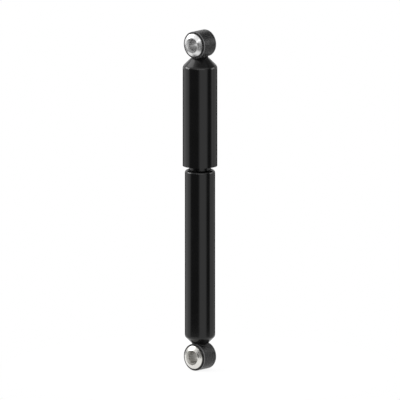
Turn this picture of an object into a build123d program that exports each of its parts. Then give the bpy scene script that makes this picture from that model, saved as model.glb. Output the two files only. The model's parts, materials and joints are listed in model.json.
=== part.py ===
from build123d import *
from math import cos, radians, sin, sqrt
import os

# Twin-tube telescopic shock absorber with an eye at each end, drawn fully extended.
# Millimetres. The origin is the centre of the lower eye, +Z runs up the rod to the
# upper eye, and +Y runs along both eye bores.

# Travel
stroke = 240.0  # from fully extended to fully closed
bottoming_gap = 6.0  # rod end above the foot valve when closed
closed_gap = 7.2  # seal cap below the roof of the dust cover when closed

# Eyes
ring_radius = 31.2
ring_wall = 3.5
ring_width = 44.3
ring_rounding = 2.0  # outer corners of the ring
ring_chamfer = 0.6  # inner corners of the ring
bore_radius = 14.0  # takes the mounting bolt
bore_lead = 3.0  # bore wider by this much at both mouths
bore_lead_depth = 6.0  # length of that taper
sleeve_length = 58.8
sleeve_wall = 4.5  # at the waist, inside the rubber
sleeve_lip = 0.9  # flat left round each mouth
flange_gap = 0.4  # between the sleeve's flange and the ring
flange_rim = 2.6  # thickness of the flange at its edge
flange_proud = 1.0  # flange rim outside the ring's face
twist_clearance = 0.05  # sleeve turning in the rubber
rubber_end_gap = 0.3  # between the rubber and the flanges
rubber_lip = 1.2  # bevel of the rubber's corners

# Cones that join the eyes to the tubes, both at 45 degrees
neck_radius = 19.3  # where the cone reaches the crown of the ring
neck_depth = 5.0  # cone carried down past the crown before the saddle is cut

# Reserve tube and base cap
reserve_radius = 35.0
reserve_wall = 3.0
base_wall = 4.0
base_floor = 7.0  # solid floor above the crown of the ring
base_skirt = 8.0  # straight side of the cap above its cone
base_rounding = 7.5
spigot_length = 8.0  # cap inside the reserve tube
spigot_wall = 3.0
rim_rounding = 7.6  # tube end rolled in over the seal stack
rim_lip = 8.0  # how far the rolled rim reaches inwards

# Pressure tube
bore_of_tube = 22.5  # inner radius
tube_wall = 2.5

# Foot valve
deck_lift = 13.4  # valve deck above the floor of the base cap
deck_height = 12.0
deck_flange = 4.0  # flange that the pressure tube stands on
foot_wall = 4.0  # skirt that stands in the cone of the base cap
foot_slot = 10.0  # width of the four oil windows in the skirt
foot_slot_height = 6.0
foot_port_radius = 2.0
foot_port_circle = 16.0
foot_port_count = 8
relief_port_radius = 1.5
relief_port_circle = 8.5
relief_port_count = 4
pin_radius = 4.0
pin_head_radius = 9.0
pin_head = 3.0
pin_tail = 0.5  # thread past the nut
foot_nut_height = 4.0
foot_nut_flats = 17.0
plate_thickness = 1.0  # every valve plate
plate_clearance = 0.1  # plates sliding on their pins, and bands in their grooves
foot_plate_inner = 12.0
foot_plate_outer = 19.5
relief_plate_outer = 12.0
relief_spring_height = 5.0
relief_spring_radius = 7.6
relief_wire = 1.6
relief_turns = 2.5
wire_sides = 6  # faces of the wire in both coil springs
retainer_radius = 15.0
retainer_boss = 7.0  # radius of the boss that spaces the retainer
retainer_holes = 4
retainer_hole_radius = 2.0
foot_spring_height = 2.0
foot_spring_root = 10.5  # radius where its fingers start
foot_spring_reach = 17.5  # radius of its finger tips

# Rod and piston
rod_radius = 10.0
spigot_radius = 7.0  # turned-down end that carries the piston
thread_tail = 2.0  # rod end past the piston nut
rod_chamfer = 1.0
piston_nut_height = 12.0
piston_nut_flats = 24.0
rebound_spring_height = 12.0
rebound_spring_radius = 10.2
rebound_wire = 2.4
rebound_turns = 3.5
spring_seat_thickness = 2.0
spring_seat_radius = 13.0
rebound_plate_radius = 13.0
piston_height = 22.0
piston_clearance = 0.35  # piston body inside the pressure tube
band_height = 10.0
band_thickness = 2.4
band_clearance = 0.05  # sliding fit of the band in the pressure tube
band_gap = 1.2  # split in the band
split_angle = 30.0
groove_slack = 0.15  # band between the walls of its groove
piston_port_radius = 2.2
piston_port_circle = 16.2
piston_port_count = 8
rebound_port_radius = 1.4
rebound_port_circle = 10.6
rebound_port_count = 6
seat_groove = 0.8  # depth of the grooves that join the ports
seat_margin = 0.3  # groove wider than its ports on each side
piston_plate_inner = 12.5
piston_plate_outer = 19.6
valve_spacer_height = 4.0
valve_spacer_wall = 2.0
star_thickness = 0.4  # of both star springs
star_fingers = 6
star_slot = 4.0  # gap between two fingers
star_root = 11.5  # radius where the fingers start
star_reach = 17.5  # radius of the finger tips
stop_washer_thickness = 2.0
stop_washer_radius = 16.0
stop_ring_gap = 3.5  # above the shoulder of the rod
stop_ring_height = 6.0
stop_ring_radius = 18.0
stop_groove = 1.0  # depth of the groove in the rod that locks the stop ring
bumper_height = 8.0
bumper_radius = 19.5
bumper_bulge = 1.2
bumper_gap = 0.5  # left under the rod guide when fully extended
bumper_fit = 0.1

# Rod guide and seals
guide_spigot = 8.0  # inside the pressure tube
guide_height = 30.0
bushing_wall = 1.5
bushing_length = 18.0
bushing_recess = 1.0
bushing_clearance = 0.04
seal_pocket = 12.0  # depth
seal_radius = 20.0
seal_wall = 4.0
seal_web = 4.0  # rubber across the top of the seal
seal_lip = 2.0
seal_fit = 0.03  # lips on the rod
seal_relief = 0.6  # seal bore between its lips
wiper_height = 3.0  # dust lip above the web
wiper_wall = 1.6
garter_section = 0.9  # section radius of the garter spring
section_sides = 8  # faces round the garter spring and the O-ring
ring_groove = 3.0  # square corner groove of the O-ring
ring_slack = 0.03
drain_radius = 2.0
drain_count = 3
drain_inner = 14.0  # where the oil returns leave the seal pocket
cover_thickness = 5.0
cover_opening = 13.0
cap_gap = 2.0  # between the seal cap and the rolled rim
cap_wall = 2.0
cap_height = 16.0
cap_opening = 11.5
cap_rounding = 2.0

# Dust cover
dust_radius = 40.0
dust_wall = 1.5
dust_gap = 9.2  # open edge above the rolled rim when extended
dust_cap_wall = 3.0
dust_roof = 3.0  # thickness of the roof below the crown of the ring
dust_rounding = 13.0
dust_skirt = 6.8  # straight side of the cap below its cone
dust_spigot = 8.0
dust_spigot_wall = 1.5

# Heights of the foot valve
cone_offset = ring_radius - neck_radius
neck_low = ring_radius - neck_depth
floor_top = ring_radius + base_floor
cone_end = reserve_radius + cone_offset
base_seam = cone_end + base_skirt
inner_offset = cone_offset + base_wall * sqrt(2)
deck_low = floor_top + deck_lift
deck_top = deck_low + deck_height
tube_low = deck_low + deck_flange
retainer_low = deck_top + plate_thickness + foot_spring_height
pin_head_low = retainer_low + plate_thickness
pin_top = pin_head_low + pin_head
relief_low = deck_low - plate_thickness
foot_nut_top = relief_low - relief_spring_height
foot_nut_low = foot_nut_top - foot_nut_height

# Heights of the piston, from the end of the rod upwards
rod_end = pin_top + bottoming_gap + stroke
nut_low = rod_end + thread_tail
nut_top = nut_low + piston_nut_height
seat_low = nut_top + rebound_spring_height
rebound_plate_low = seat_low + spring_seat_thickness
piston_low = rebound_plate_low + plate_thickness
piston_top = piston_low + piston_height
spacer_top = piston_top + valve_spacer_height
rod_shoulder = spacer_top + stop_washer_thickness
stop_ring_low = rod_shoulder + stop_ring_gap
bumper_low = stop_ring_low + stop_ring_height
bumper_top = bumper_low + bumper_height

# Heights of the guide and the rolled end of the reserve tube
guide_low = bumper_top + bumper_gap
guide_shoulder = guide_low + guide_spigot
guide_top = guide_shoulder + guide_height
pocket_low = guide_top - seal_pocket
cover_top = guide_top + cover_thickness
reserve_top = cover_top + reserve_wall
cap_top = cover_top + cap_height

# Heights of the dust cover and the upper eye
roof = cap_top + stroke + closed_gap
eye_span = roof + dust_roof + ring_radius
dust_low = reserve_top + dust_gap
dust_cone_end = eye_span - dust_radius - cone_offset
dust_seam = dust_cone_end - dust_skirt
dust_inner_offset = cone_offset + dust_cap_wall * sqrt(2)

# Radii that several pieces share
ring_bore = ring_radius - ring_wall
waist_radius = bore_radius + sleeve_wall
reserve_bore = reserve_radius - reserve_wall
rim_opening = reserve_radius - rim_lip
cap_radius = rim_opening - cap_gap
tube_radius = bore_of_tube + tube_wall
spacer_radius = spigot_radius + valve_spacer_wall
bushing_radius = rod_radius + bushing_clearance + bushing_wall
band_radius = bore_of_tube - band_clearance
groove_radius = band_radius - band_thickness - plate_clearance
lip_radius = rod_radius + seal_lip
dust_bore = dust_radius - dust_wall
dust_cap_bore = dust_radius - dust_cap_wall

os.makedirs("parts", exist_ok=True)


def save(piece, name):
    # Label a finished piece and write it under its own name.
    piece.part.label = name
    export_step(piece.part, f"parts/{name}.step")


def rims(piece, radius):
    # Circular edges of one radius, lowest first.
    circles = piece.edges().filter_by(GeomType.CIRCLE)
    same_size = circles.filter_by(lambda edge: abs(edge.radius - radius) < 0.001)
    return same_size.sort_by(Axis.Z)


def eye_plane(height):
    # Plane through an eye's centre with its first direction along the bore.
    return Plane(origin=(0, 0, height), x_dir=(0, 1, 0), z_dir=(1, 0, 0))


def eye_axis(height):
    return Axis((0, 0, height), (0, 1, 0))


def make_eye_ring(height, name):
    # Forged ring, rounded outside and chamfered inside.
    with BuildPart() as ring:
        with BuildSketch(eye_plane(height)):
            with Locations((0, ring_bore + ring_wall / 2)):
                Rectangle(ring_width, ring_wall)
            fillet(vertices().group_by(Axis.Y)[-1], ring_rounding)
            chamfer(vertices().group_by(Axis.Y)[0], ring_chamfer)
        revolve(axis=eye_axis(height))
    save(ring, name)


def make_rubber_bush(height, name):
    # Rubber pressed in the ring, between the flanges of the sleeve.
    inner = waist_radius + twist_clearance
    depth = ring_bore - inner
    length = ring_width + 2 * (flange_proud - flange_rim - rubber_end_gap)
    with BuildPart() as rubber:
        with BuildSketch(eye_plane(height)):
            with Locations((0, inner + depth / 2)):
                Rectangle(length, depth)
            chamfer(vertices(), rubber_lip)
        revolve(axis=eye_axis(height))
    save(rubber, name)


def make_inner_sleeve(height, name):
    # Steel sleeve with a conical flange and a tapered mouth at each end.
    end = sleeve_length / 2
    rim_end = ring_width / 2 + flange_proud
    rim_radius = ring_bore - flange_gap
    mouth = bore_radius + bore_lead
    with BuildPart() as sleeve:
        with BuildSketch(eye_plane(height)):
            with BuildLine():
                Polyline(
                    (0, bore_radius),
                    (end - bore_lead_depth, bore_radius),
                    (end, mouth),
                    (end, mouth + sleeve_lip),
                    (rim_end, rim_radius),
                    (rim_end - flange_rim, rim_radius),
                    (rim_end - flange_rim, waist_radius),
                    (0, waist_radius),
                    close=True,
                )
            make_face()
            mirror(about=Plane.YZ)
        revolve(axis=eye_axis(height))
    save(sleeve, name)


def make_coil(radius, wire, turns, low, high, name):
    # Coil spring between two seats, its end turns ground flat. The wire has few faces.
    with BuildPart() as coil:
        with BuildLine() as path:
            Helix(pitch=(high - low) / turns, height=high - low, radius=radius, center=(0, 0, low))
        with BuildSketch(Plane(origin=path.line @ 0, z_dir=path.line % 0)):
            RegularPolygon(wire / 2, wire_sides)
        sweep(path=path.line, is_frenet=True)
        split(bisect_by=Plane.XY.offset(low), keep=Keep.TOP)
        split(bisect_by=Plane.XY.offset(high), keep=Keep.BOTTOM)
    save(coil, name)


def make_star_spring(inner, root, reach, low, high, name):
    # Flat spring ring with fingers that reach down to a valve plate.
    with BuildPart() as star:
        with BuildSketch(Plane.XZ):
            with BuildLine():
                Polyline(
                    (inner, high),
                    (inner, high - star_thickness),
                    (root, high - star_thickness),
                    (reach, low),
                    (reach, low + star_thickness),
                    (root, high),
                    close=True,
                )
            make_face()
        revolve(axis=Axis.Z)
        with BuildSketch(Plane.XY.offset(low)):
            with PolarLocations(reach, star_fingers):
                SlotCenterToCenter(2 * (reach - root - star_slot / 2), star_slot)
        extrude(amount=high - low, mode=Mode.SUBTRACT)
    save(star, name)


def make_disc(inner, outer, low, thickness, name):
    # Flat valve plate, washer or seat.
    with BuildPart() as disc:
        with BuildSketch(Plane.XY.offset(low)):
            Circle(outer)
            Circle(inner, mode=Mode.SUBTRACT)
        extrude(amount=thickness)
    save(disc, name)


def make_nut(flats, bore, low, height, name):
    # Hexagon nut with its corners turned off.
    corner = flats / sqrt(3)
    with BuildPart() as nut:
        with BuildSketch(Plane.XY.offset(low)):
            RegularPolygon(flats / 2, 6, major_radius=False)
            Circle((corner + flats / 2) / 2, mode=Mode.INTERSECT)
            Circle(bore, mode=Mode.SUBTRACT)
        extrude(amount=height)
    save(nut, name)


for eye_height, end_name in ((0, "lower"), (eye_span, "upper")):
    make_eye_ring(eye_height, f"{end_name}_eye_ring")
    make_rubber_bush(eye_height, f"{end_name}_rubber_bush")
    make_inner_sleeve(eye_height, f"{end_name}_inner_sleeve")

# Base cap: a cone welded to the lower eye, closed by a floor, with a spigot in the tube
with BuildPart() as base_cap:
    spigot_bore = reserve_bore - spigot_wall
    with BuildSketch(Plane.XZ):
        with BuildLine():
            Polyline(
                (0, neck_low),
                (neck_low - cone_offset, neck_low),
                (reserve_radius, cone_end),
                (reserve_radius, base_seam),
                (reserve_bore, base_seam),
                (reserve_bore, base_seam + spigot_length),
                (spigot_bore, base_seam + spigot_length),
                (spigot_bore, spigot_bore + inner_offset),
                (floor_top - inner_offset, floor_top),
                (0, floor_top),
                close=True,
            )
        make_face()
    revolve(axis=Axis.Z)
    fillet(rims(base_cap, reserve_radius)[0], base_rounding)
    Cylinder(ring_radius, 2 * ring_width, rotation=(90, 0, 0), mode=Mode.SUBTRACT)
save(base_cap, "base_cap")

# Reserve tube, its upper end rolled in over the seal stack
with BuildPart() as reserve_tube:
    with BuildSketch(Plane.XZ):
        with BuildLine():
            Polyline(
                (reserve_bore, base_seam),
                (reserve_radius, base_seam),
                (reserve_radius, reserve_top),
                (rim_opening, reserve_top),
                (rim_opening, cover_top),
                (reserve_bore, cover_top),
                close=True,
            )
        make_face()
    revolve(axis=Axis.Z)
    fillet(rims(reserve_tube, reserve_radius)[-1], rim_rounding)
    fillet(rims(reserve_tube, reserve_bore)[-1], rim_rounding - reserve_wall)
save(reserve_tube, "reserve_tube")

# Pressure tube, between the foot valve and the rod guide
make_disc(bore_of_tube, tube_radius, tube_low, guide_shoulder - tube_low, "pressure_tube")

# Foot valve body: a ported deck on a skirt that stands in the cone of the base cap
with BuildPart() as foot_valve_body:
    skirt_bore = tube_radius - foot_wall
    skirt_low = skirt_bore + inner_offset
    with BuildSketch(Plane.XZ):
        with BuildLine():
            Polyline(
                (skirt_bore, skirt_low),
                (tube_radius, tube_radius + inner_offset),
                (tube_radius, tube_low),
                (bore_of_tube, tube_low),
                (bore_of_tube, deck_top),
                (pin_radius, deck_top),
                (pin_radius, deck_low),
                (skirt_bore, deck_low),
                close=True,
            )
        make_face()
    revolve(axis=Axis.Z)
    for window_plane in (Plane.XZ, Plane.YZ):
        with BuildSketch(window_plane):
            with Locations((0, skirt_low + foot_slot_height / 2)):
                Rectangle(foot_slot, foot_slot_height)
        extrude(amount=2 * tube_radius, both=True, mode=Mode.SUBTRACT)
    with BuildSketch(Plane.XY.offset(deck_low)):
        with PolarLocations(foot_port_circle, foot_port_count):
            Circle(foot_port_radius)
        with PolarLocations(relief_port_circle, relief_port_count):
            Circle(relief_port_radius)
    extrude(amount=deck_height, mode=Mode.SUBTRACT)
save(foot_valve_body, "foot_valve_body")

# Plates, pin and nut of the foot valve
make_disc(foot_plate_inner, foot_plate_outer, deck_top, plate_thickness, "foot_intake_plate")
make_disc(
    pin_radius + plate_clearance,
    relief_plate_outer,
    relief_low,
    plate_thickness,
    "foot_relief_plate",
)
make_coil(relief_spring_radius, relief_wire, relief_turns, foot_nut_top, relief_low, "foot_relief_spring")
make_nut(foot_nut_flats, pin_radius, foot_nut_low, foot_nut_height, "foot_valve_nut")
make_star_spring(
    retainer_boss + plate_clearance,
    foot_spring_root,
    foot_spring_reach,
    deck_top + plate_thickness,
    retainer_low,
    "foot_intake_spring",
)

with BuildPart() as foot_valve_pin:
    with BuildSketch(Plane.XY.offset(foot_nut_low - pin_tail)):
        Circle(pin_radius)
    extrude(amount=pin_head_low - foot_nut_low + pin_tail)
    with BuildSketch(Plane.XY.offset(pin_head_low)):
        Circle(pin_head_radius)
    extrude(amount=pin_head)
    fillet(rims(foot_valve_pin, pin_head_radius)[-1], pin_head / 2)
save(foot_valve_pin, "foot_valve_pin")

# Retainer above the intake plate, spaced off the deck by its boss
with BuildPart() as foot_spring_retainer:
    with BuildSketch(Plane.XY.offset(deck_top)):
        Circle(retainer_boss)
    extrude(amount=pin_head_low - deck_top)
    with BuildSketch(Plane.XY.offset(retainer_low)):
        Circle(retainer_radius)
    extrude(amount=plate_thickness)
    with BuildSketch(Plane.XY.offset(deck_top)):
        Circle(pin_radius)
        with PolarLocations((retainer_boss + retainer_radius) / 2, retainer_holes):
            Circle(retainer_hole_radius)
    extrude(amount=pin_head_low - deck_top, mode=Mode.SUBTRACT)
save(foot_spring_retainer, "foot_spring_retainer")

# Piston rod: chromed bar with a turned-down end, welded under the upper eye
with BuildPart() as piston_rod:
    with BuildSketch(Plane.XZ):
        with BuildLine():
            Polyline(
                (0, rod_end),
                (spigot_radius, rod_end),
                (spigot_radius, rod_shoulder),
                (rod_radius, rod_shoulder),
                (rod_radius, eye_span - neck_low),
                (0, eye_span - neck_low),
                close=True,
            )
        make_face()
    revolve(axis=Axis.Z)
    chamfer(rims(piston_rod, spigot_radius)[0], rod_chamfer)
    with BuildSketch(Plane.XY.offset(stop_ring_low + stop_ring_height / 4)):
        Circle(rod_radius)
        Circle(rod_radius - stop_groove, mode=Mode.SUBTRACT)
    extrude(amount=stop_ring_height / 2, mode=Mode.SUBTRACT)
    with Locations((0, 0, eye_span)):
        Cylinder(ring_radius, 2 * ring_width, rotation=(90, 0, 0), mode=Mode.SUBTRACT)
save(piston_rod, "piston_rod")

# Rebound stop: a ring rolled into the groove of the rod
with BuildPart() as rebound_stop:
    with BuildSketch(Plane.XY.offset(stop_ring_low)):
        Circle(stop_ring_radius)
        Circle(rod_radius, mode=Mode.SUBTRACT)
    extrude(amount=stop_ring_height)
    chamfer(rims(rebound_stop, stop_ring_radius), rod_chamfer)
    with BuildSketch(Plane.XY.offset(stop_ring_low + stop_ring_height / 4)):
        Circle(rod_radius)
        Circle(rod_radius - stop_groove, mode=Mode.SUBTRACT)
    extrude(amount=stop_ring_height / 2)
save(rebound_stop, "rebound_stop")

# Rebound bumper: a barrel-shaped rubber ring on the stop
with BuildPart() as rebound_bumper:
    with BuildSketch(Plane.XZ):
        with BuildLine():
            inner_side = Line(
                (rod_radius + bumper_fit, bumper_top),
                (rod_radius + bumper_fit, bumper_low),
            )
            foot = Line(inner_side @ 1, (bumper_radius - bumper_bulge, bumper_low))
            barrel = ThreePointArc(
                foot @ 1,
                (bumper_radius, (bumper_low + bumper_top) / 2),
                (bumper_radius - bumper_bulge, bumper_top),
            )
            Line(barrel @ 1, inner_side @ 0)
        make_face()
    revolve(axis=Axis.Z)
save(rebound_bumper, "rebound_bumper")

# Piston: ported sintered body with a groove for its band
with BuildPart() as piston_body:
    band_middle = piston_low + piston_height / 2
    with BuildSketch(Plane.XY.offset(piston_low)):
        Circle(bore_of_tube - piston_clearance)
        Circle(spigot_radius, mode=Mode.SUBTRACT)
        with PolarLocations(piston_port_circle, piston_port_count):
            Circle(piston_port_radius, mode=Mode.SUBTRACT)
        with PolarLocations(rebound_port_circle, rebound_port_count):
            Circle(rebound_port_radius, mode=Mode.SUBTRACT)
    extrude(amount=piston_height)
    with BuildSketch(Plane.XY.offset(band_middle)):
        Circle(bore_of_tube)
        Circle(groove_radius, mode=Mode.SUBTRACT)
    extrude(amount=band_height / 2 + groove_slack, both=True, mode=Mode.SUBTRACT)
    piston_seat = piston_port_radius + seat_margin
    with BuildSketch(Plane.XY.offset(piston_top)):
        Circle(piston_port_circle + piston_seat)
        Circle(piston_port_circle - piston_seat, mode=Mode.SUBTRACT)
    extrude(amount=-seat_groove, mode=Mode.SUBTRACT)
    rebound_seat = rebound_port_radius + seat_margin
    with BuildSketch(Plane.XY.offset(piston_low)):
        Circle(rebound_port_circle + rebound_seat)
        Circle(rebound_port_circle - rebound_seat, mode=Mode.SUBTRACT)
    extrude(amount=seat_groove, mode=Mode.SUBTRACT)
save(piston_body, "piston_body")

# Piston band: low-friction ring with a slanted split
with BuildPart() as piston_band:
    with BuildSketch(Plane.XY.offset(band_middle)):
        Circle(band_radius)
        Circle(band_radius - band_thickness, mode=Mode.SUBTRACT)
    extrude(amount=band_height / 2, both=True)
    with BuildSketch(Plane.YZ.offset(groove_radius - groove_slack)):
        with Locations(Location((0, band_middle), split_angle)):
            Rectangle(band_gap, 2 * band_height)
    extrude(amount=2 * band_thickness, mode=Mode.SUBTRACT)
save(piston_band, "piston_band")

# Intake valve on top of the piston
make_disc(piston_plate_inner, piston_plate_outer, piston_top, plate_thickness, "piston_intake_plate")
make_disc(spigot_radius, spacer_radius, piston_top, valve_spacer_height, "valve_spacer")
make_disc(spigot_radius, stop_washer_radius, spacer_top, stop_washer_thickness, "valve_stop_washer")
make_star_spring(
    spacer_radius + plate_clearance,
    star_root,
    star_reach,
    piston_top + plate_thickness,
    spacer_top,
    "intake_star_spring",
)

# Rebound valve under the piston
rebound_bore = spigot_radius + plate_clearance
make_disc(rebound_bore, rebound_plate_radius, rebound_plate_low, plate_thickness, "rebound_valve_plate")
make_disc(rebound_bore, spring_seat_radius, seat_low, spring_seat_thickness, "rebound_spring_seat")
make_coil(rebound_spring_radius, rebound_wire, rebound_turns, nut_top, seat_low, "rebound_spring")
make_nut(piston_nut_flats, spigot_radius, nut_low, piston_nut_height, "piston_nut")

# Rod guide: spigot in the pressure tube, seal pocket, O-ring corner and oil returns
with BuildPart() as rod_guide:
    with BuildSketch(Plane.XZ):
        with BuildLine():
            Polyline(
                (bushing_radius, guide_low),
                (bore_of_tube, guide_low),
                (bore_of_tube, guide_shoulder),
                (reserve_bore, guide_shoulder),
                (reserve_bore, guide_top - ring_groove),
                (reserve_bore - ring_groove, guide_top - ring_groove),
                (reserve_bore - ring_groove, guide_top),
                (seal_radius, guide_top),
                (seal_radius, pocket_low),
                (bushing_radius, pocket_low),
                close=True,
            )
        make_face()
    revolve(axis=Axis.Z)
    drain_reach = (tube_radius + reserve_bore) / 2 - drain_inner
    for index in range(drain_count):
        angle = radians(index * 360 / drain_count)
        drain_plane = Plane(
            origin=(drain_inner * cos(angle), drain_inner * sin(angle), pocket_low),
            z_dir=(drain_reach * cos(angle), drain_reach * sin(angle), guide_shoulder - pocket_low),
        )
        with BuildSketch(drain_plane):
            Circle(drain_radius)
        extrude(amount=guide_height, both=True, mode=Mode.SUBTRACT)
save(rod_guide, "rod_guide")

make_disc(
    rod_radius + bushing_clearance,
    bushing_radius,
    guide_low + bushing_recess,
    bushing_length,
    "guide_bushing",
)

# Rod seal: oil lips below, a web across the pocket and a wiper lip above
with BuildPart() as rod_seal:
    fit_radius = rod_radius + seal_fit
    relief_radius = rod_radius + seal_relief
    lip_low = pocket_low + seal_lip
    web_low = guide_top - seal_web
    wiper_top = guide_top + wiper_height
    with BuildSketch(Plane.XZ):
        with BuildLine():
            Polyline(
                (seal_radius - seal_wall, pocket_low),
                (seal_radius, pocket_low),
                (seal_radius, guide_top),
                (cover_opening - plate_clearance, guide_top),
                (fit_radius + wiper_wall, wiper_top),
                (fit_radius, wiper_top),
                (relief_radius, guide_top),
                (relief_radius, lip_low + seal_lip),
                (fit_radius, lip_low + seal_lip / 2),
                (relief_radius, lip_low),
                (lip_radius, lip_low),
                (lip_radius, web_low),
                (seal_radius - seal_wall, web_low),
                close=True,
            )
        make_face()
    revolve(axis=Axis.Z)
save(rod_seal, "rod_seal")

with BuildPart() as garter_spring:
    with BuildSketch(Plane.XZ):
        with Locations((lip_radius + garter_section, lip_low + seal_lip / 2)):
            RegularPolygon(garter_section, section_sides)
    revolve(axis=Axis.Z)
save(garter_spring, "seal_garter_spring")

with BuildPart() as guide_o_ring:
    with BuildSketch(Plane.XZ):
        with Locations((reserve_bore - ring_groove / 2, guide_top - ring_groove / 2)):
            RegularPolygon(ring_groove / 2 - ring_slack, section_sides)
    revolve(axis=Axis.Z)
save(guide_o_ring, "guide_o_ring")

# Cover plate that the tube is rolled over
with BuildPart() as seal_cover_plate:
    with BuildSketch(Plane.XY.offset(guide_top)):
        Circle(reserve_bore)
        Circle(cover_opening, mode=Mode.SUBTRACT)
    extrude(amount=cover_thickness)
    fillet(rims(seal_cover_plate, reserve_bore)[-1], rim_rounding - reserve_wall)
save(seal_cover_plate, "seal_cover_plate")

# Seal cap: pressed cup over the seal, seen between the rolled rim and the dust cover
with BuildPart() as seal_cap:
    with BuildSketch(Plane.XY.offset(cover_top)):
        Circle(cap_radius)
    extrude(amount=cap_height)
    fillet(rims(seal_cap, cap_radius)[-1], cap_rounding)
    with BuildSketch(Plane.XY.offset(cover_top)):
        Circle(cap_radius - cap_wall)
    extrude(amount=cap_height - cap_wall, mode=Mode.SUBTRACT)
    with BuildSketch(Plane.XY.offset(cap_top)):
        Circle(cap_opening)
    extrude(amount=-cap_height, mode=Mode.SUBTRACT)
save(seal_cap, "seal_cap")

# Dust cover cap: a cone welded to the upper eye and the rod, with a spigot in the tube
with BuildPart() as dust_cover_cap:
    dust_spigot_bore = dust_bore - dust_spigot_wall
    with BuildSketch(Plane.XZ):
        with BuildLine():
            Polyline(
                (rod_radius, eye_span - neck_low),
                (neck_low - cone_offset, eye_span - neck_low),
                (dust_radius, dust_cone_end),
                (dust_radius, dust_seam),
                (dust_bore, dust_seam),
                (dust_bore, dust_seam - dust_spigot),
                (dust_spigot_bore, dust_seam - dust_spigot),
                (dust_spigot_bore, eye_span - dust_spigot_bore - dust_inner_offset),
                (eye_span - roof - dust_inner_offset, roof),
                (rod_radius, roof),
                close=True,
            )
        make_face()
    revolve(axis=Axis.Z)
    fillet(rims(dust_cover_cap, dust_radius)[-1], dust_rounding)
    fillet(rims(dust_cover_cap, dust_spigot_bore)[-1], dust_rounding - dust_cap_wall)
    with Locations((0, 0, eye_span)):
        Cylinder(ring_radius, 2 * ring_width, rotation=(90, 0, 0), mode=Mode.SUBTRACT)
save(dust_cover_cap, "dust_cover_cap")

# Dust cover tube, open below
make_disc(dust_bore, dust_radius, dust_low, dust_seam - dust_low, "dust_cover_tube")
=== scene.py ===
import json
import math

import bmesh
import bpy
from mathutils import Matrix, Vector


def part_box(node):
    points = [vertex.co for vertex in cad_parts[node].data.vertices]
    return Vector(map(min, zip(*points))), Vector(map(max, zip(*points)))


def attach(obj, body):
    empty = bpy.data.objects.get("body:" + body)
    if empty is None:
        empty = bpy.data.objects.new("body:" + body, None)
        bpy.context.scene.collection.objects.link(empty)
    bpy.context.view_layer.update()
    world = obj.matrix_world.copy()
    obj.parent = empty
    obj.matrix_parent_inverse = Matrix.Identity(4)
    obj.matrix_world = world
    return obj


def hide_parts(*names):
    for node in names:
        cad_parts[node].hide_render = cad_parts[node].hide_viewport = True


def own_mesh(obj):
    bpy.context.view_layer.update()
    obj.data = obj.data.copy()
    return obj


# Shock absorber at full length. Metres. +Z runs from the lower eye to the upper one,
# and +Y runs along both eye bores.

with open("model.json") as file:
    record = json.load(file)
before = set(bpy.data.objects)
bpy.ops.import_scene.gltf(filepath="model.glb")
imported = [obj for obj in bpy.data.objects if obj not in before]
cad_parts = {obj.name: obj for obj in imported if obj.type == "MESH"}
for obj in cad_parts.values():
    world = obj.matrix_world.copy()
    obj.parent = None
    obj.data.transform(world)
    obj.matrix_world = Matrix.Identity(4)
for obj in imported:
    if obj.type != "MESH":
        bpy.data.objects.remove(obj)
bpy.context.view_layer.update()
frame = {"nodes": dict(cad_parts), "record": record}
nodes = frame["nodes"]
print("frame loaded:", len(nodes), "nodes")

# Places read from the frame
lowerRingLow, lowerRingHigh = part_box("lower_eye_ring")
upperRingLow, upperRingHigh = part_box("upper_eye_ring")
ringRadius = (lowerRingHigh.z - lowerRingLow.z) / 2
lowerEye = Vector((0, 0, (lowerRingLow.z + lowerRingHigh.z) / 2))
upperEye = Vector((0, 0, (upperRingLow.z + upperRingHigh.z) / 2))
objectMiddle = (lowerEye + upperEye) / 2

# View

viewFrom = {
    "azimuth": 40.0,  # degrees round the object, 0 looks along +Y
    "elevation": 10.4,
    "distance": 3.0,
    "frameWidth": 0.9225,  # metres across the picture
    "clipEnd": 20,
}


def directionAt(azimuth, elevation):
    # Unit vector from the object; azimuth is counted from the camera's side, + to its right.
    around = math.radians(viewFrom["azimuth"] + azimuth)
    up = math.radians(elevation)
    return Vector((math.sin(around) * math.cos(up), -math.cos(around) * math.cos(up), math.sin(up)))


def turnTowards(obj, target):
    obj.rotation_euler = (target - obj.location).to_track_quat("-Z", "Y").to_euler()


def makeCamera(spec):
    lens = bpy.data.cameras.new("camera")
    lens.type = "ORTHO"
    lens.ortho_scale = spec["frameWidth"]
    lens.clip_end = spec["clipEnd"]
    camera = bpy.data.objects.new("camera", lens)
    bpy.context.scene.collection.objects.link(camera)
    camera.location = objectMiddle + spec["distance"] * directionAt(0, spec["elevation"])
    turnTowards(camera, objectMiddle)
    bpy.context.scene.camera = camera
    bpy.context.scene.view_settings.view_transform = "Standard"


makeCamera(viewFrom)
print("camera set")

# Node tree helpers


def addNode(tree, kind, **settings):
    node = tree.nodes.new(kind)
    for name, value in settings.items():
        setattr(node, name, value)
    return node


def setInputs(node, **values):
    for name, value in values.items():
        node.inputs[name.replace("_", " ")].default_value = value
    return node


def join(tree, source, target):
    tree.links.new(source, target)


def mathNode(tree, operation, first, second=None):
    # first and second are sockets or plain numbers
    node = addNode(tree, "ShaderNodeMath", operation=operation)
    for index, value in enumerate((first, second)):
        if value is None:
            continue
        if isinstance(value, (int, float)):
            node.inputs[index].default_value = value
        else:
            join(tree, value, node.inputs[index])
    return node.outputs[0]


def rampNode(tree, source, low, high, lowValue, highValue):
    # Smooth step from lowValue to highValue as source goes from low to high
    node = addNode(tree, "ShaderNodeMapRange", interpolation_type="SMOOTHSTEP")
    join(tree, source, node.inputs["Value"])
    setInputs(node, From_Min=low, From_Max=high, To_Min=lowValue, To_Max=highValue)
    return node.outputs["Result"]


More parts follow.
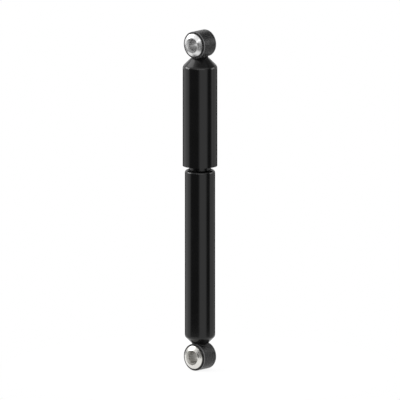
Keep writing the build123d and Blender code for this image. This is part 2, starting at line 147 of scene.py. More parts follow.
def startGroup(name, inputs, outputs):
    # Shader group with float inputs {name: default} and float outputs
    group = bpy.data.node_groups.new(name, "ShaderNodeTree")
    for socketName, value in inputs.items():
        socket = group.interface.new_socket(socketName, in_out="INPUT", socket_type="NodeSocketFloat")
        socket.default_value = value
    for socketName in outputs:
        group.interface.new_socket(socketName, in_out="OUTPUT", socket_type="NodeSocketFloat")
    return group, addNode(group, "NodeGroupInput"), addNode(group, "NodeGroupOutput")


# Surface effects shared by the finishes


def makeGrain():
    # Cast, sprayed or rubbery grain: a coarse and a fine cloud mixed
    group, given, result = startGroup(
        "surfaceGrain",
        {"Coarse Scale": 120.0, "Fine Scale": 900.0, "Fine Share": 0.4},
        ("Grain", "Cloud"),
    )
    place = addNode(group, "ShaderNodeTexCoord").outputs["Object"]
    clouds = {}
    for scaleName, detail in (("Coarse Scale", 3.0), ("Fine Scale", 2.0)):
        noise = setInputs(addNode(group, "ShaderNodeTexNoise"), Detail=detail)
        join(group, place, noise.inputs["Vector"])
        join(group, given.outputs[scaleName], noise.inputs["Scale"])
        clouds[scaleName] = noise.outputs["Fac"]
    mix = addNode(group, "ShaderNodeMix")
    join(group, given.outputs["Fine Share"], mix.inputs["Factor"])
    join(group, clouds["Coarse Scale"], mix.inputs["A"])
    join(group, clouds["Fine Scale"], mix.inputs["B"])
    join(group, mix.outputs["Result"], result.inputs["Grain"])
    join(group, clouds["Coarse Scale"], result.inputs["Cloud"])
    return group


turning = {
    "streakAcross": 0.12,  # streak noise per tool ring
    "streakAround": 1.6,  # and per radian
}


def makeTurning(spec):
    # Marks of a turning tool round the eye axis (Y), or round Z when Upright is 1
    group, given, result = startGroup(
        "turningMarks",
        {"Centre Height": 0.0, "Upright": 0.0, "Pitch": 0.0004, "Waver": 0.3},
        ("Marks", "Streaks", "Radius"),
    )
    place = addNode(group, "ShaderNodeTexCoord").outputs["Object"]
    split = addNode(group, "ShaderNodeSeparateXYZ")
    join(group, place, split.inputs[0])
    x, y, z = split.outputs
    zFromEye = mathNode(group, "SUBTRACT", z, given.outputs["Centre Height"])

    def choose(flat, upright):
        mix = addNode(group, "ShaderNodeMix")
        join(group, given.outputs["Upright"], mix.inputs["Factor"])
        join(group, flat, mix.inputs["A"])
        join(group, upright, mix.inputs["B"])
        return mix.outputs["Result"]

    across = choose(zFromEye, y)
    along = choose(y, z)
    squares = mathNode(
        group, "ADD", mathNode(group, "MULTIPLY", x, x), mathNode(group, "MULTIPLY", across, across)
    )
    radius = mathNode(group, "SQRT", squares)
    angle = mathNode(group, "ARCTAN2", across, x)
    travel = mathNode(group, "ADD", radius, along)  # both a face and a bore get rings
    rings = mathNode(group, "DIVIDE", travel, given.outputs["Pitch"])
    noise = setInputs(addNode(group, "ShaderNodeTexNoise", noise_dimensions="2D"), Scale=1.0, Detail=3.0)
    spot = addNode(group, "ShaderNodeCombineXYZ")
    join(group, rings, spot.inputs[0])
    join(group, mathNode(group, "MULTIPLY", angle, given.outputs["Waver"]), spot.inputs[1])
    join(group, spot.outputs[0], noise.inputs["Vector"])
    join(group, noise.outputs["Fac"], result.inputs["Marks"])
    streak = setInputs(addNode(group, "ShaderNodeTexNoise", noise_dimensions="2D"), Scale=1.0, Detail=4.0)
    streakSpot = addNode(group, "ShaderNodeCombineXYZ")
    join(group, mathNode(group, "MULTIPLY", rings, spec["streakAcross"]), streakSpot.inputs[0])
    join(group, mathNode(group, "MULTIPLY", angle, spec["streakAround"]), streakSpot.inputs[1])
    join(group, streakSpot.outputs[0], streak.inputs["Vector"])
    join(group, streak.outputs["Fac"], result.inputs["Streaks"])
    join(group, radius, result.inputs["Radius"])
    return group


speckShare = 0.15  # of the cells, those that hold a speck


def makeDust():
    # Sparse small specks: dust nibs under paint, pores in sintered iron, flecks in plastic
    group, given, result = startGroup("specks", {"Scale": 500.0, "Size": 0.12}, ("Specks",))
    place = addNode(group, "ShaderNodeTexCoord").outputs["Object"]
    cells = addNode(group, "ShaderNodeTexVoronoi")
    join(group, place, cells.inputs["Vector"])
    join(group, given.outputs["Scale"], cells.inputs["Scale"])
    picker = addNode(group, "ShaderNodeSeparateColor")
    join(group, cells.outputs["Color"], picker.inputs[0])
    near = mathNode(group, "LESS_THAN", cells.outputs["Distance"], given.outputs["Size"])
    chosen = mathNode(group, "LESS_THAN", picker.outputs[0], speckShare)
    join(group, mathNode(group, "MULTIPLY", near, chosen), result.inputs["Specks"])
    return group


grainGroup = makeGrain()
turningGroup = makeTurning(turning)
dustGroup = makeDust()


def useGroup(tree, group, **values):
    node = addNode(tree, "ShaderNodeGroup", node_tree=group)
    return setInputs(node, **values)


def useGrain(tree, scales):
    # scales: coarse and fine cells per metre, and the fine cloud's share
    coarse, fine, share = scales
    return useGroup(tree, grainGroup, Coarse_Scale=coarse, Fine_Scale=fine, Fine_Share=share)


def useSpecks(tree, cells):
    # cells: how many per metre, and a speck's size in its cell
    scale, size = cells
    return useGroup(tree, dustGroup, Scale=scale, Size=size)


def startMaterial(name):
    material = bpy.data.materials.new(name)
    material.use_nodes = True
    tree = material.node_tree
    return material, tree, tree.nodes["Principled BSDF"]


def tint(tree, source, dark, light):
    # Colour between dark and light by a 0..1 value
    mix = addNode(tree, "ShaderNodeMix", data_type="RGBA")
    join(tree, source, mix.inputs["Factor"])
    mix.inputs[6].default_value = (*dark, 1)
    mix.inputs[7].default_value = (*light, 1)
    return mix.outputs[2]


def bump(tree, height, distance, strength, under=None):
    node = setInputs(addNode(tree, "ShaderNodeBump"), Strength=strength, Distance=distance)
    join(tree, height, node.inputs["Height"])
    if under is not None:
        join(tree, under, node.inputs["Normal"])
    return node.outputs["Normal"]


wideSpan = (0.3, 0.7)  # parts of a cloud's 0..1 that a roughness range is spread over
middleSpan = (0.35, 0.65)


def roughen(tree, shader, source, span, roughness):
    join(tree, rampNode(tree, source, *span, *roughness), shader.inputs["Roughness"])


# Finishes

paint = {
    "dark": (0.0035, 0.0035, 0.0036),
    "light": (0.0052, 0.0052, 0.0053),
    "gloss": (0.13, 0.18),  # roughness between clear and slightly dull patches
    "specular": 0.36,
    "patches": (22.0, 160.0, 0.25),  # clear and dull, as scales of useGrain
    "peel": (420.0, 2600.0, 0.15),  # orange peel
    "peelDepth": 0.00004,
    "peelStrength": 0.25,
    "nibs": (330.0, 0.1),  # dust under the paint, as cells of useSpecks
    "nibDepth": 0.00003,
    "nibStrength": 0.2,
}


def makePaint(spec):
    material, tree, shader = startMaterial("glossBlackPaint")
    grain = useGrain(tree, spec["peel"])
    patches = useGrain(tree, spec["patches"])
    specks = useSpecks(tree, spec["nibs"])
    join(tree, tint(tree, patches.outputs["Grain"], spec["dark"], spec["light"]), shader.inputs["Base Color"])
    roughen(tree, shader, patches.outputs["Grain"], middleSpan, spec["gloss"])
    peel = bump(tree, grain.outputs["Grain"], spec["peelDepth"], spec["peelStrength"])
    nibs = bump(tree, specks.outputs["Specks"], spec["nibDepth"], spec["nibStrength"], peel)
    join(tree, nibs, shader.inputs["Normal"])
    setInputs(shader, Specular_IOR_Level=spec["specular"])
    return material


forging = {
    "dark": (0.001, 0.001, 0.001),
    "light": (0.034, 0.034, 0.0345),
    "paintedEdgeHighlight": (0.16, 0.16, 0.162),  # painted highlight: a pale band along the ring's edges, standing in for the rounded edge's reflection
    "paintedHighlightFrom": (0.0008, 0.0014, 0.0024, 0.0030),  # band in from the ring's face: fades in and out
    "roughness": (0.24, 0.40),
    "specular": 0.22,
    "pits": (380.0, 900.0, 0.35),
    "pitSpan": (0.40, 0.60),
    "grain": (240.0, 1300.0, 0.35),
    "grainDepth": 0.0011,
    "grainStrength": 0.7,
}


def makeForging(spec):
    material, tree, shader = startMaterial("paintedForging")
    grain = useGrain(tree, spec["grain"])
    pits = useGrain(tree, spec["pits"])
    pitted = rampNode(tree, pits.outputs["Grain"], *spec["pitSpan"], 0.0, 1.0)
    place = addNode(tree, "ShaderNodeSeparateXYZ")
    join(tree, addNode(tree, "ShaderNodeTexCoord").outputs["Object"], place.inputs[0])
    inwards = mathNode(tree, "SUBTRACT", upperRingHigh.y, mathNode(tree, "ABSOLUTE", place.outputs[1]))
    start, full, ending, end = spec["paintedHighlightFrom"]
    # Painted highlight: pale colour in a band just in from the ring's faces, where its rounded edge catches
    # the light
    band = mathNode(
        tree,
        "MULTIPLY",
        rampNode(tree, inwards, start, full, 0.0, 1.0),
        rampNode(tree, inwards, ending, end, 1.0, 0.0),
    )
    paintedEdgeHighlight = addNode(tree, "ShaderNodeMix", data_type="RGBA")
    join(tree, band, paintedEdgeHighlight.inputs["Factor"])
    join(tree, tint(tree, pitted, spec["dark"], spec["light"]), paintedEdgeHighlight.inputs[6])
    paintedEdgeHighlight.inputs[7].default_value = (*spec["paintedEdgeHighlight"], 1)
    join(tree, paintedEdgeHighlight.outputs[2], shader.inputs["Base Color"])
    roughen(tree, shader, grain.outputs["Grain"], wideSpan, spec["roughness"])
    bumped = bump(tree, grain.outputs["Grain"], spec["grainDepth"], spec["grainStrength"])
    join(tree, bumped, shader.inputs["Normal"])
    setInputs(shader, Specular_IOR_Level=spec["specular"])
    return material


sleeve = {
    "upperTints": ((0.60, 0.60, 0.60), (0.86, 0.86, 0.86)),  # dark and light
    "lowerTints": ((0.60, 0.59, 0.56), (0.86, 0.85, 0.81)),  # a little yellow passivation
    "roughness": (0.20, 0.34),
    "pitch": 0.0005,
    "waver": 0.4,
    "markDepth": 0.00002,
    "markStrength": 0.5,
    "boreRadius": 0.014,
    "borePaintedShade": 0.77,  # painted shade: the colour inside the bore is darkened to this share of the flange's
    "boreFade": 0.005,  # and clears over this much outwards
    "boreRougher": 0.24,  # added to the roughness in the bore
    "rimShade": 0.2,  # ring paint that ran over the flange's rim
    "rimFade": (0.0016, 0.0005),  # from the rim inwards, where it starts and is full
}


def makeSleeve(name, spec, height, tints):
    material, tree, shader = startMaterial(name)
    turned = useGroup(tree, turningGroup, Centre_Height=height, Pitch=spec["pitch"], Waver=spec["waver"])
    low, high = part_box("upper_inner_sleeve")
    rim = (high.z - low.z) / 2
    fadeStart, fadeFull = spec["rimFade"]
    boreSpan = (spec["boreRadius"], spec["boreRadius"] + spec["boreFade"])
    radius = turned.outputs["Radius"]
    # Painted shade: the sleeve's colour darkens inside the bore
    borePaintedShade = rampNode(tree, radius, *boreSpan, spec["borePaintedShade"], 1.0)
    rimShade = rampNode(tree, radius, rim - fadeStart, rim - fadeFull, 1.0, spec["rimShade"])
    shaded = addNode(tree, "ShaderNodeVectorMath", operation="SCALE")
    join(tree, tint(tree, turned.outputs["Streaks"], *tints), shaded.inputs[0])
    join(tree, mathNode(tree, "MULTIPLY", borePaintedShade, rimShade), shaded.inputs["Scale"])
    join(tree, shaded.outputs[0], shader.inputs["Base Color"])
    streaked = rampNode(tree, turned.outputs["Streaks"], *wideSpan, *spec["roughness"])
    rougher = rampNode(tree, radius, *boreSpan, spec["boreRougher"], 0.0)
    join(tree, mathNode(tree, "ADD", streaked, rougher), shader.inputs["Roughness"])
    marks = bump(tree, turned.outputs["Marks"], spec["markDepth"], spec["markStrength"])
    join(tree, marks, shader.inputs["Normal"])
    setInputs(shader, Metallic=1.0)
    return material


rubber = {
    "dark": (0.008, 0.008, 0.008),
    "light": (0.022, 0.021, 0.020),
    "roughness": (0.62, 0.82),
    "specular": 0.35,
    "grain": (260.0, 1800.0, 0.6),
    "grainDepth": 0.00008,
    "grainStrength": 0.4,
}


def makeRubber(spec):
    material, tree, shader = startMaterial("blackRubber")
    grain = useGrain(tree, spec["grain"])
    join(tree, tint(tree, grain.outputs["Cloud"], spec["dark"], spec["light"]), shader.inputs["Base Color"])
    roughen(tree, shader, grain.outputs["Grain"], wideSpan, spec["roughness"])
    bumped = bump(tree, grain.outputs["Grain"], spec["grainDepth"], spec["grainStrength"])
    join(tree, bumped, shader.inputs["Normal"])
    setInputs(shader, Specular_IOR_Level=spec["specular"])
    return material


# Metals turned or ground round the rod axis: dark, light, roughness range, pitch, mark depth
turnedMetals = {
    "hard_chrome": ((0.55, 0.56, 0.58), (0.66, 0.67, 0.69), (0.06, 0.13), 0.00012, 0.000004),
    "plain_steel": ((0.30, 0.30, 0.31), (0.46, 0.46, 0.47), (0.28, 0.45), 0.0005, 0.00002),
    "spring_steel": ((0.16, 0.16, 0.17), (0.27, 0.27, 0.29), (0.26, 0.40), 0.0006, 0.00001),
    "bearing_bronze": ((0.42, 0.25, 0.11), (0.60, 0.38, 0.18), (0.30, 0.46), 0.0004, 0.00002),
    "light_alloy": ((0.52, 0.53, 0.54), (0.68, 0.69, 0.70), (0.32, 0.50), 0.0006, 0.00003),
}


turnedFinish = {
    "waver": 0.5,
    "cloud": (60.0, 800.0, 0.3),
    "markStrength": 0.5,
}


def makeTurnedMetal(name, metal, spec):
    dark, light, roughness, pitch, depth = metal
    material, tree, shader = startMaterial(name)
    turned = useGroup(tree, turningGroup, Upright=1.0, Pitch=pitch, Waver=spec["waver"])
    cloud = useGrain(tree, spec["cloud"])
    both = mathNode(tree, "ADD", turned.outputs["Streaks"], cloud.outputs["Grain"])
    blend = mathNode(tree, "MULTIPLY", both, 0.5)
    join(tree, tint(tree, blend, dark, light), shader.inputs["Base Color"])
    roughen(tree, shader, blend, middleSpan, roughness)
    marks = bump(tree, turned.outputs["Marks"], depth, spec["markStrength"])
    join(tree, marks, shader.inputs["Normal"])
    setInputs(shader, Metallic=1.0)
    return material


sinteredIron = {
    "dark": (0.10, 0.10, 0.105),
    "light": (0.26, 0.26, 0.27),
    "roughness": (0.45, 0.65),
    "metallic": 0.85,
    "pores": (1400.0, 0.3),
    "grain": (500.0, 2400.0, 0.55),
    "grainDepth": 0.00006,
    "grainStrength": 0.5,
}


def makeSinteredIron(spec):
    # Pressed and sintered powder: grey, dull and full of tiny pores
    material, tree, shader = startMaterial("sinteredIron")
    grain = useGrain(tree, spec["grain"])
    pores = useSpecks(tree, spec["pores"])
    join(tree, tint(tree, grain.outputs["Grain"], spec["dark"], spec["light"]), shader.inputs["Base Color"])
    roughen(tree, shader, grain.outputs["Grain"], wideSpan, spec["roughness"])
    depth = mathNode(tree, "SUBTRACT", grain.outputs["Grain"], pores.outputs["Specks"])
    join(tree, bump(tree, depth, spec["grainDepth"], spec["grainStrength"]), shader.inputs["Normal"])
    setInputs(shader, Metallic=spec["metallic"])
    return material


bandPlastic = {
    "dark": (0.10, 0.075, 0.04),
    "light": (0.30, 0.26, 0.18),
    "roughness": (0.38, 0.55),
    "flecks": (1600.0, 0.35),
    "grain": (300.0, 2000.0, 0.5),
    "grainDepth": 0.00002,
    "grainStrength": 0.4,
}


def makeBandPlastic(spec):
    # Filled bearing plastic of the piston band: olive brown with pale flecks
    material, tree, shader = startMaterial("bandPlastic")
    grain = useGrain(tree, spec["grain"])
    flecks = useSpecks(tree, spec["flecks"])
    share = mathNode(tree, "MAXIMUM", grain.outputs["Grain"], flecks.outputs["Specks"])
    join(tree, tint(tree, share, spec["dark"], spec["light"]), shader.inputs["Base Color"])
    roughen(tree, shader, grain.outputs["Grain"], wideSpan, spec["roughness"])
    bumped = bump(tree, grain.outputs["Grain"], spec["grainDepth"], spec["grainStrength"])
    join(tree, bumped, shader.inputs["Normal"])
    return material


finishes = {
    "black_paint": makePaint(paint),
    "black_forging": makeForging(forging),
    "black_rubber": makeRubber(rubber),
    "sintered_iron": makeSinteredIron(sinteredIron),
    "band_plastic": makeBandPlastic(bandPlastic),
}
for finishName, metalSpec in turnedMetals.items():
    finishes[finishName] = makeTurnedMetal(finishName + "_turned", metalSpec, turnedFinish)
eyeFinishes = {}
for eyeEnd, eyeCentre in (("upper", upperEye), ("lower", lowerEye)):
    eyeFinishes[eyeEnd + "_inner_sleeve"] = makeSleeve(
        eyeEnd + "SleeveSteel", sleeve, eyeCentre.z, sleeve[eyeEnd + "Tints"]
    )


def dressNodes():
    # Every CAD node gets the finish of its own material slot
    for name, obj in nodes.items():
        for materialSlot in obj.material_slots:
            slotName = materialSlot.material.name
            materialSlot.material = eyeFinishes.get(name) or finishes[slotName]


dressNodes()
print("finishes made:", len(finishes) + len(eyeFinishes))

# Springs and weld beads, grown by Geometry Nodes


def startTree(name, counts, sizes):
    # Geometry tree with whole-number inputs, size inputs and the finish
    tree = bpy.data.node_groups.new(name, "GeometryNodeTree")
    tree.interface.new_socket("Geometry", in_out="INPUT", socket_type="NodeSocketGeometry")
    for socketName in counts:
        tree.interface.new_socket(socketName, in_out="INPUT", socket_type="NodeSocketInt")
    for socketName in sizes:
        tree.interface.new_socket(socketName, in_out="INPUT", socket_type="NodeSocketFloat")
    tree.interface.new_socket("Finish", in_out="INPUT", socket_type="NodeSocketMaterial")
    tree.interface.new_socket("Geometry", in_out="OUTPUT", socket_type="NodeSocketGeometry")
    return tree, addNode(tree, "NodeGroupInput").outputs, addNode(tree, "NodeGroupOutput")


def placePoints(tree, geometry, x, y, z):
    spot = addNode(tree, "ShaderNodeCombineXYZ")
    for index, value in enumerate((x, y, z)):
        join(tree, value, spot.inputs[index])
    mover = addNode(tree, "GeometryNodeSetPosition")
    join(tree, geometry, mover.inputs["Geometry"])
    join(tree, spot.outputs[0], mover.inputs["Position"])
    return mover.outputs["Geometry"]


def keepFactor(tree, curve):
    # 0..1 along a curve, kept for the mesh that is swept from it
    capture = addNode(tree, "GeometryNodeCaptureAttribute")
    capture.capture_items.new("FLOAT", "Along")
    join(tree, curve, capture.inputs["Geometry"])
    join(tree, addNode(tree, "GeometryNodeSplineParameter").outputs["Factor"], capture.inputs["Along"])
    return capture.outputs["Along"], capture.outputs["Geometry"]


def sweepWire(tree, path, radius, sides, capped):
    # Round section along the path; also gives the section's own factor
    profile = addNode(tree, "GeometryNodeCurvePrimitiveCircle")
    join(tree, sides, profile.inputs["Resolution"])
    join(tree, radius, profile.inputs["Radius"])
    around, section = keepFactor(tree, profile.outputs["Curve"])
    sweep = addNode(tree, "GeometryNodeCurveToMesh")
    join(tree, path, sweep.inputs["Curve"])
    join(tree, section, sweep.inputs["Profile Curve"])
    sweep.inputs["Fill Caps"].default_value = capped
    return sweep.outputs["Mesh"], around


def endTree(tree, mesh, given, result):
    smooth = addNode(tree, "GeometryNodeSetShadeSmooth")
    join(tree, mesh, smooth.inputs["Geometry"])
    real = addNode(tree, "GeometryNodeRealizeInstances")
    join(tree, smooth.outputs["Geometry"], real.inputs["Geometry"])
    finish = addNode(tree, "GeometryNodeSetMaterial")
    join(tree, real.outputs["Geometry"], finish.inputs["Geometry"])
    join(tree, given["Finish"], finish.inputs["Material"])
    join(tree, finish.outputs["Geometry"], result.inputs["Geometry"])


mergeWithin = 1e-7
sharpPast = math.radians(40)


def faceOutwards(obj):
    # Merge doubles, turn every face outwards and mark the sharp edges
    work = bmesh.new()
    work.from_mesh(obj.data)
    bmesh.ops.remove_doubles(work, verts=work.verts, dist=mergeWithin)
    bmesh.ops.recalc_face_normals(work, faces=work.faces)
    for edge in work.edges:
        edge.smooth = len(edge.link_faces) == 2 and edge.calc_face_angle(0) < sharpPast
    for face in work.faces:
        face.smooth = True
    work.to_mesh(obj.data)
    work.free()
    return obj


def growPiece(name, tree, values, material):
    # Run a tree once and keep what it makes as a plain mesh
    obj = bpy.data.objects.new(name, bpy.data.meshes.new(name + "Start"))
    bpy.context.scene.collection.objects.link(obj)
    modifier = obj.modifiers.new("grow", "NODES")
    modifier.node_group = tree
    inputs = [item for item in tree.interface.items_tree if item.in_out == "INPUT"]
    for item in inputs:
        if item.name in values:
            modifier[item.identifier] = values[item.name]
        elif item.name == "Finish":
            modifier[item.identifier] = material
    grown = obj.evaluated_get(bpy.context.evaluated_depsgraph_get())
    mesh = bpy.data.meshes.new_from_object(grown)
    obj.modifiers.clear()
    obj.data = mesh
    mesh.name = name
    return faceOutwards(obj)


def makeSpringTree():
    # Helix between two seats with its end turns closed in and ground flat
    tree, given, result = startTree(
        "roundWireSpring", ("Steps", "Sides"), ("Radius", "Wire Radius", "Turns", "Low", "High")
    )
    line = addNode(tree, "GeometryNodeCurvePrimitiveLine")
    steps = addNode(tree, "GeometryNodeResampleCurve")
    join(tree, line.outputs["Curve"], steps.inputs["Curve"])
    join(tree, given["Steps"], steps.inputs["Count"])
    along = addNode(tree, "GeometryNodeSplineParameter").outputs["Factor"]
    angle = mathNode(tree, "MULTIPLY", mathNode(tree, "MULTIPLY", along, given["Turns"]), 2 * math.pi)
    rise = rampNode(tree, along, 0.0, 1.0, 0.0, 1.0)
    height = mathNode(tree, "MULTIPLY", rise, mathNode(tree, "SUBTRACT", given["High"], given["Low"]))
    path = placePoints(
        tree,
        steps.outputs["Curve"],
        mathNode(tree, "MULTIPLY", given["Radius"], mathNode(tree, "COSINE", angle)),
        mathNode(tree, "MULTIPLY", given["Radius"], mathNode(tree, "SINE", angle)),
        mathNode(tree, "ADD", given["Low"], height),
    )
    wire, _ = sweepWire(tree, path, given["Wire Radius"], given["Sides"], True)
    here = addNode(tree, "ShaderNodeSeparateXYZ")
    join(tree, addNode(tree, "GeometryNodeInputPosition").outputs[0], here.inputs[0])
    aboveLow = mathNode(tree, "MAXIMUM", here.outputs[2], given["Low"])
    ground = mathNode(tree, "MINIMUM", aboveLow, given["High"])
    endTree(tree, placePoints(tree, wire, here.outputs[0], here.outputs[1], ground), given, result)
    return tree


def makeGarterTree():
    # Fine coil spring bent into a closed ring
    tree, given, result = startTree(
        "garterCoil", ("Steps", "Sides"), ("Ring Radius", "Coil Radius", "Wire Radius", "Turns", "Height")
    )
    ring = addNode(tree, "GeometryNodeCurvePrimitiveCircle")
    join(tree, given["Steps"], ring.inputs["Resolution"])
    along = addNode(tree, "GeometryNodeSplineParameter").outputs["Factor"]
    angle = mathNode(tree, "MULTIPLY", along, 2 * math.pi)
    coil = mathNode(tree, "MULTIPLY", angle, given["Turns"])
    out = mathNode(tree, "MULTIPLY", given["Coil Radius"], mathNode(tree, "COSINE", coil))
    radius = mathNode(tree, "ADD", given["Ring Radius"], out)
    lift = mathNode(tree, "MULTIPLY", given["Coil Radius"], mathNode(tree, "SINE", coil))
    path = placePoints(
        tree,
        ring.outputs["Curve"],
        mathNode(tree, "MULTIPLY", radius, mathNode(tree, "COSINE", angle)),
        mathNode(tree, "MULTIPLY", radius, mathNode(tree, "SINE", angle)),
        mathNode(tree, "ADD", given["Height"], lift),
    )
    wire, _ = sweepWire(tree, path, given["Wire Radius"], given["Sides"], False)
    endTree(tree, wire, given, result)
    return tree


def makeBeadTree(rippleBend):
    # Weld bead along the line where a 45 degree cone meets the round of an eye ring
    tree, given, result = startTree(
        "weldBead",
        ("Steps", "Sides"),
        ("Ring Radius", "Cone Offset", "Bead Radius", "Ripples", "Ripple Depth", "Eye Height", "Side"),
    )
    ring = addNode(tree, "GeometryNodeCurvePrimitiveCircle")
    join(tree, given["Steps"], ring.inputs["Resolution"])
    travel, loop = keepFactor(tree, ring.outputs["Curve"])
    along = addNode(tree, "GeometryNodeSplineParameter").outputs["Factor"]
    angle = mathNode(tree, "MULTIPLY", along, 2 * math.pi)
    across, offset = mathNode(tree, "COSINE", angle), given["Cone Offset"]
    share = mathNode(tree, "ADD", mathNode(tree, "MULTIPLY", across, across), 1.0)
    offsetSquared = mathNode(tree, "MULTIPLY", offset, offset)
    ringSquared = mathNode(tree, "MULTIPLY", given["Ring Radius"], given["Ring Radius"])
    rest = mathNode(tree, "MULTIPLY", share, mathNode(tree, "SUBTRACT", offsetSquared, ringSquared))
    root = mathNode(tree, "SQRT", mathNode(tree, "SUBTRACT", offsetSquared, rest))
    radius = mathNode(tree, "DIVIDE", mathNode(tree, "SUBTRACT", root, offset), share)
    reach = mathNode(tree, "MULTIPLY", given["Side"], mathNode(tree, "ADD", radius, offset))
    path = placePoints(
        tree,
        loop,
        mathNode(tree, "MULTIPLY", radius, across),
        mathNode(tree, "MULTIPLY", radius, mathNode(tree, "SINE", angle)),
        mathNode(tree, "ADD", given["Eye Height"], reach),
    )
    bead, around = sweepWire(tree, path, given["Bead Radius"], given["Sides"], False)
    bend = mathNode(tree, "COSINE", mathNode(tree, "MULTIPLY", around, 2 * math.pi))
    counted = mathNode(tree, "MULTIPLY", travel, given["Ripples"])
    phase = mathNode(tree, "ADD", counted, mathNode(tree, "MULTIPLY", bend, rippleBend))
    wave = mathNode(tree, "ABSOLUTE", mathNode(tree, "SINE", mathNode(tree, "MULTIPLY", phase, math.pi)))
    swell = addNode(tree, "ShaderNodeVectorMath", operation="SCALE")
    join(tree, addNode(tree, "GeometryNodeInputNormal").outputs[0], swell.inputs[0])
    join(tree, mathNode(tree, "MULTIPLY", wave, given["Ripple Depth"]), swell.inputs["Scale"])
    mover = addNode(tree, "GeometryNodeSetPosition")
    join(tree, bead, mover.inputs["Geometry"])
    join(tree, swell.outputs[0], mover.inputs["Offset"])
    endTree(tree, mover.outputs["Geometry"], given, result)
    return tree


coilSprings = {
    "rebound_spring": {
        "coilRadius": 0.0102,
        "wireRadius": 0.0012,
        "turns": 3.5,
        "joint": "rebound_valve_open",
    },
    "foot_relief_spring": {
        "coilRadius": 0.0076,
        "wireRadius": 0.0008,
        "turns": 2.5,
        "joint": "foot_relief_open",
    },
}
coilMesh = {"stepsPerTurn": 56, "sides": 14}
starSprings = {"foot_intake_spring": "foot_intake_lift", "intake_star_spring": "piston_intake_lift"}
bodyOf = {node: body for body, held in frame["record"]["behaviour"]["bodies"].items() for node in held}


def seatSpring(piece, node):
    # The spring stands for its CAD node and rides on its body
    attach(piece, bodyOf[node])
    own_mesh(piece)
    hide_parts(node)


def makeSprings():
    springTree = makeSpringTree()
    for node, spec in coilSprings.items():
        low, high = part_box(node)
        values = {
            "Steps": int(spec["turns"] * coilMesh["stepsPerTurn"]),
            "Sides": coilMesh["sides"],
            "Radius": spec["coilRadius"],
            "Wire Radius": spec["wireRadius"],
            "Turns": spec["turns"],
            "Low": low.z,
            "High": high.z,
        }
        piece = growPiece("round_" + node, springTree, values, finishes["spring_steel"])
        seatSpring(piece, node)
    for node, jointName in starSprings.items():
        piece = bpy.data.objects.new("pressed_" + node, nodes[node].data.copy())
        bpy.context.scene.collection.objects.link(piece)
        seatSpring(faceOutwards(piece), node)


garter = {"coilRadius": 0.00068, "wireRadius": 0.0002, "turns": 110, "stepsPerTurn": 9, "sides": 6}


def makeGarter(spec):
    node = "seal_garter_spring"
    low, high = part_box(node)
    section = (high.z - low.z) / 2
    values = {
        "Steps": spec["turns"] * spec["stepsPerTurn"],
        "Sides": spec["sides"],
        "Ring Radius": high.x - section,
        "Coil Radius": spec["coilRadius"],
        "Wire Radius": spec["wireRadius"],
        "Turns": spec["turns"],
        "Height": (low.z + high.z) / 2,
    }
    piece = growPiece("wound_" + node, makeGarterTree(), values, finishes["spring_steel"])
    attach(piece, bodyOf[node])
    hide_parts(node)


weldBead = {
    "radius": 0.0014,
    "sides": 12,
    "ripples": 74,
    "stepsPerRipple": 8,
    "rippleDepth": 0.0003,
    "rippleBend": 0.35,  # how far a ripple trails at the sides of the bead
    "coneOffset": 0.0119,
}


def makeBeads(spec):
    tree = makeBeadTree(spec["rippleBend"])
    for name, ring, eye, side in (
        ("lower_eye_weld", "lower_eye_ring", lowerEye, 1.0),
        ("upper_eye_weld", "upper_eye_ring", upperEye, -1.0),
    ):
        values = {
            "Steps": spec["ripples"] * spec["stepsPerRipple"],
            "Sides": spec["sides"],
            "Ring Radius": ringRadius,
            "Cone Offset": spec["coneOffset"],
            "Bead Radius": spec["radius"],
            "Ripples": float(spec["ripples"]),
            "Ripple Depth": spec["rippleDepth"],
            "Eye Height": eye.z,
            "Side": side,
        }
        piece = growPiece(name, tree, values, finishes["black_paint"])
        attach(piece, bodyOf[ring])


makeSprings()
makeGarter(garter)
makeBeads(weldBead)
print("springs and weld beads grown")

# Studio

floor = {
    "radius": 0.45,
    "gap": 0.0005,  # under the lower ring
    "shade": 0.12,  # share of the floor's white that can fall into shadow
    "white": 0.8,  # for the light that it throws back on the part
    "corners": 96,
}

# Black cards that only show in reflections. Angles are seen from the object, counted from the
# camera's side; feather is the soft edge in degrees.
cardDistance = 2.0
cardSteps = 48
cards = {
    "leftCard": {"from": -84, "to": 2, "feather": 14, "low": -1.3, "high": 1.25, "density": 0.96},
    "rightCard": {"from": 42, "to": 88, "feather": 14, "low": -1.3, "high": 1.25, "density": 0.98},
    "farRightCard": {"from": 88, "to": 165, "feather": 16, "low": -1.3, "high": 1.25, "density": 0.4},
    "behindCard": {"from": 147, "to": 213, "feather": 12, "low": -1.1, "high": 0.4, "density": 0.9},
    "edgeCard": {"from": 126, "to": 234, "feather": 10, "low": -0.73, "high": -0.03, "density": 0.75},
    "highRightCard": {"from": 60, "to": 172, "feather": 16, "low": 1.25, "high": 3.4, "density": 0.8},
}
topCard = {
    "height": 2.2,
    "radius": 1.3,
    "feather": 0.5,
    "density": 0.75,
    "shift": 0.4,  # to the camera's right
    "steps": 64,
}

# Soft boxes: direction, distance, size across and up, and brightness as radiance
lamps = {
    "keyBox": {"azimuth": -100, "elevation": 27, "distance": 2.2, "size": (1.4, 0.8), "radiance": 5.8},
    "highLeftBox": {"azimuth": -112, "elevation": 54, "distance": 2.2, "size": (1.3, 0.9), "radiance": 2.0},
    "frontBox": {"azimuth": 0, "elevation": 34, "distance": 2.2, "size": (2.4, 0.5), "radiance": 1.6},
    "rightBox": {"azimuth": 100, "elevation": 22, "distance": 2.2, "size": (1.2, 0.6), "radiance": 3.4},
}


def makeWorld():
    world = bpy.data.worlds.new("studioWhite")
    world.use_nodes = True
    setInputs(world.node_tree.nodes["Background"], Color=(1, 1, 1, 1), Strength=1.0)
    bpy.context.scene.world = world


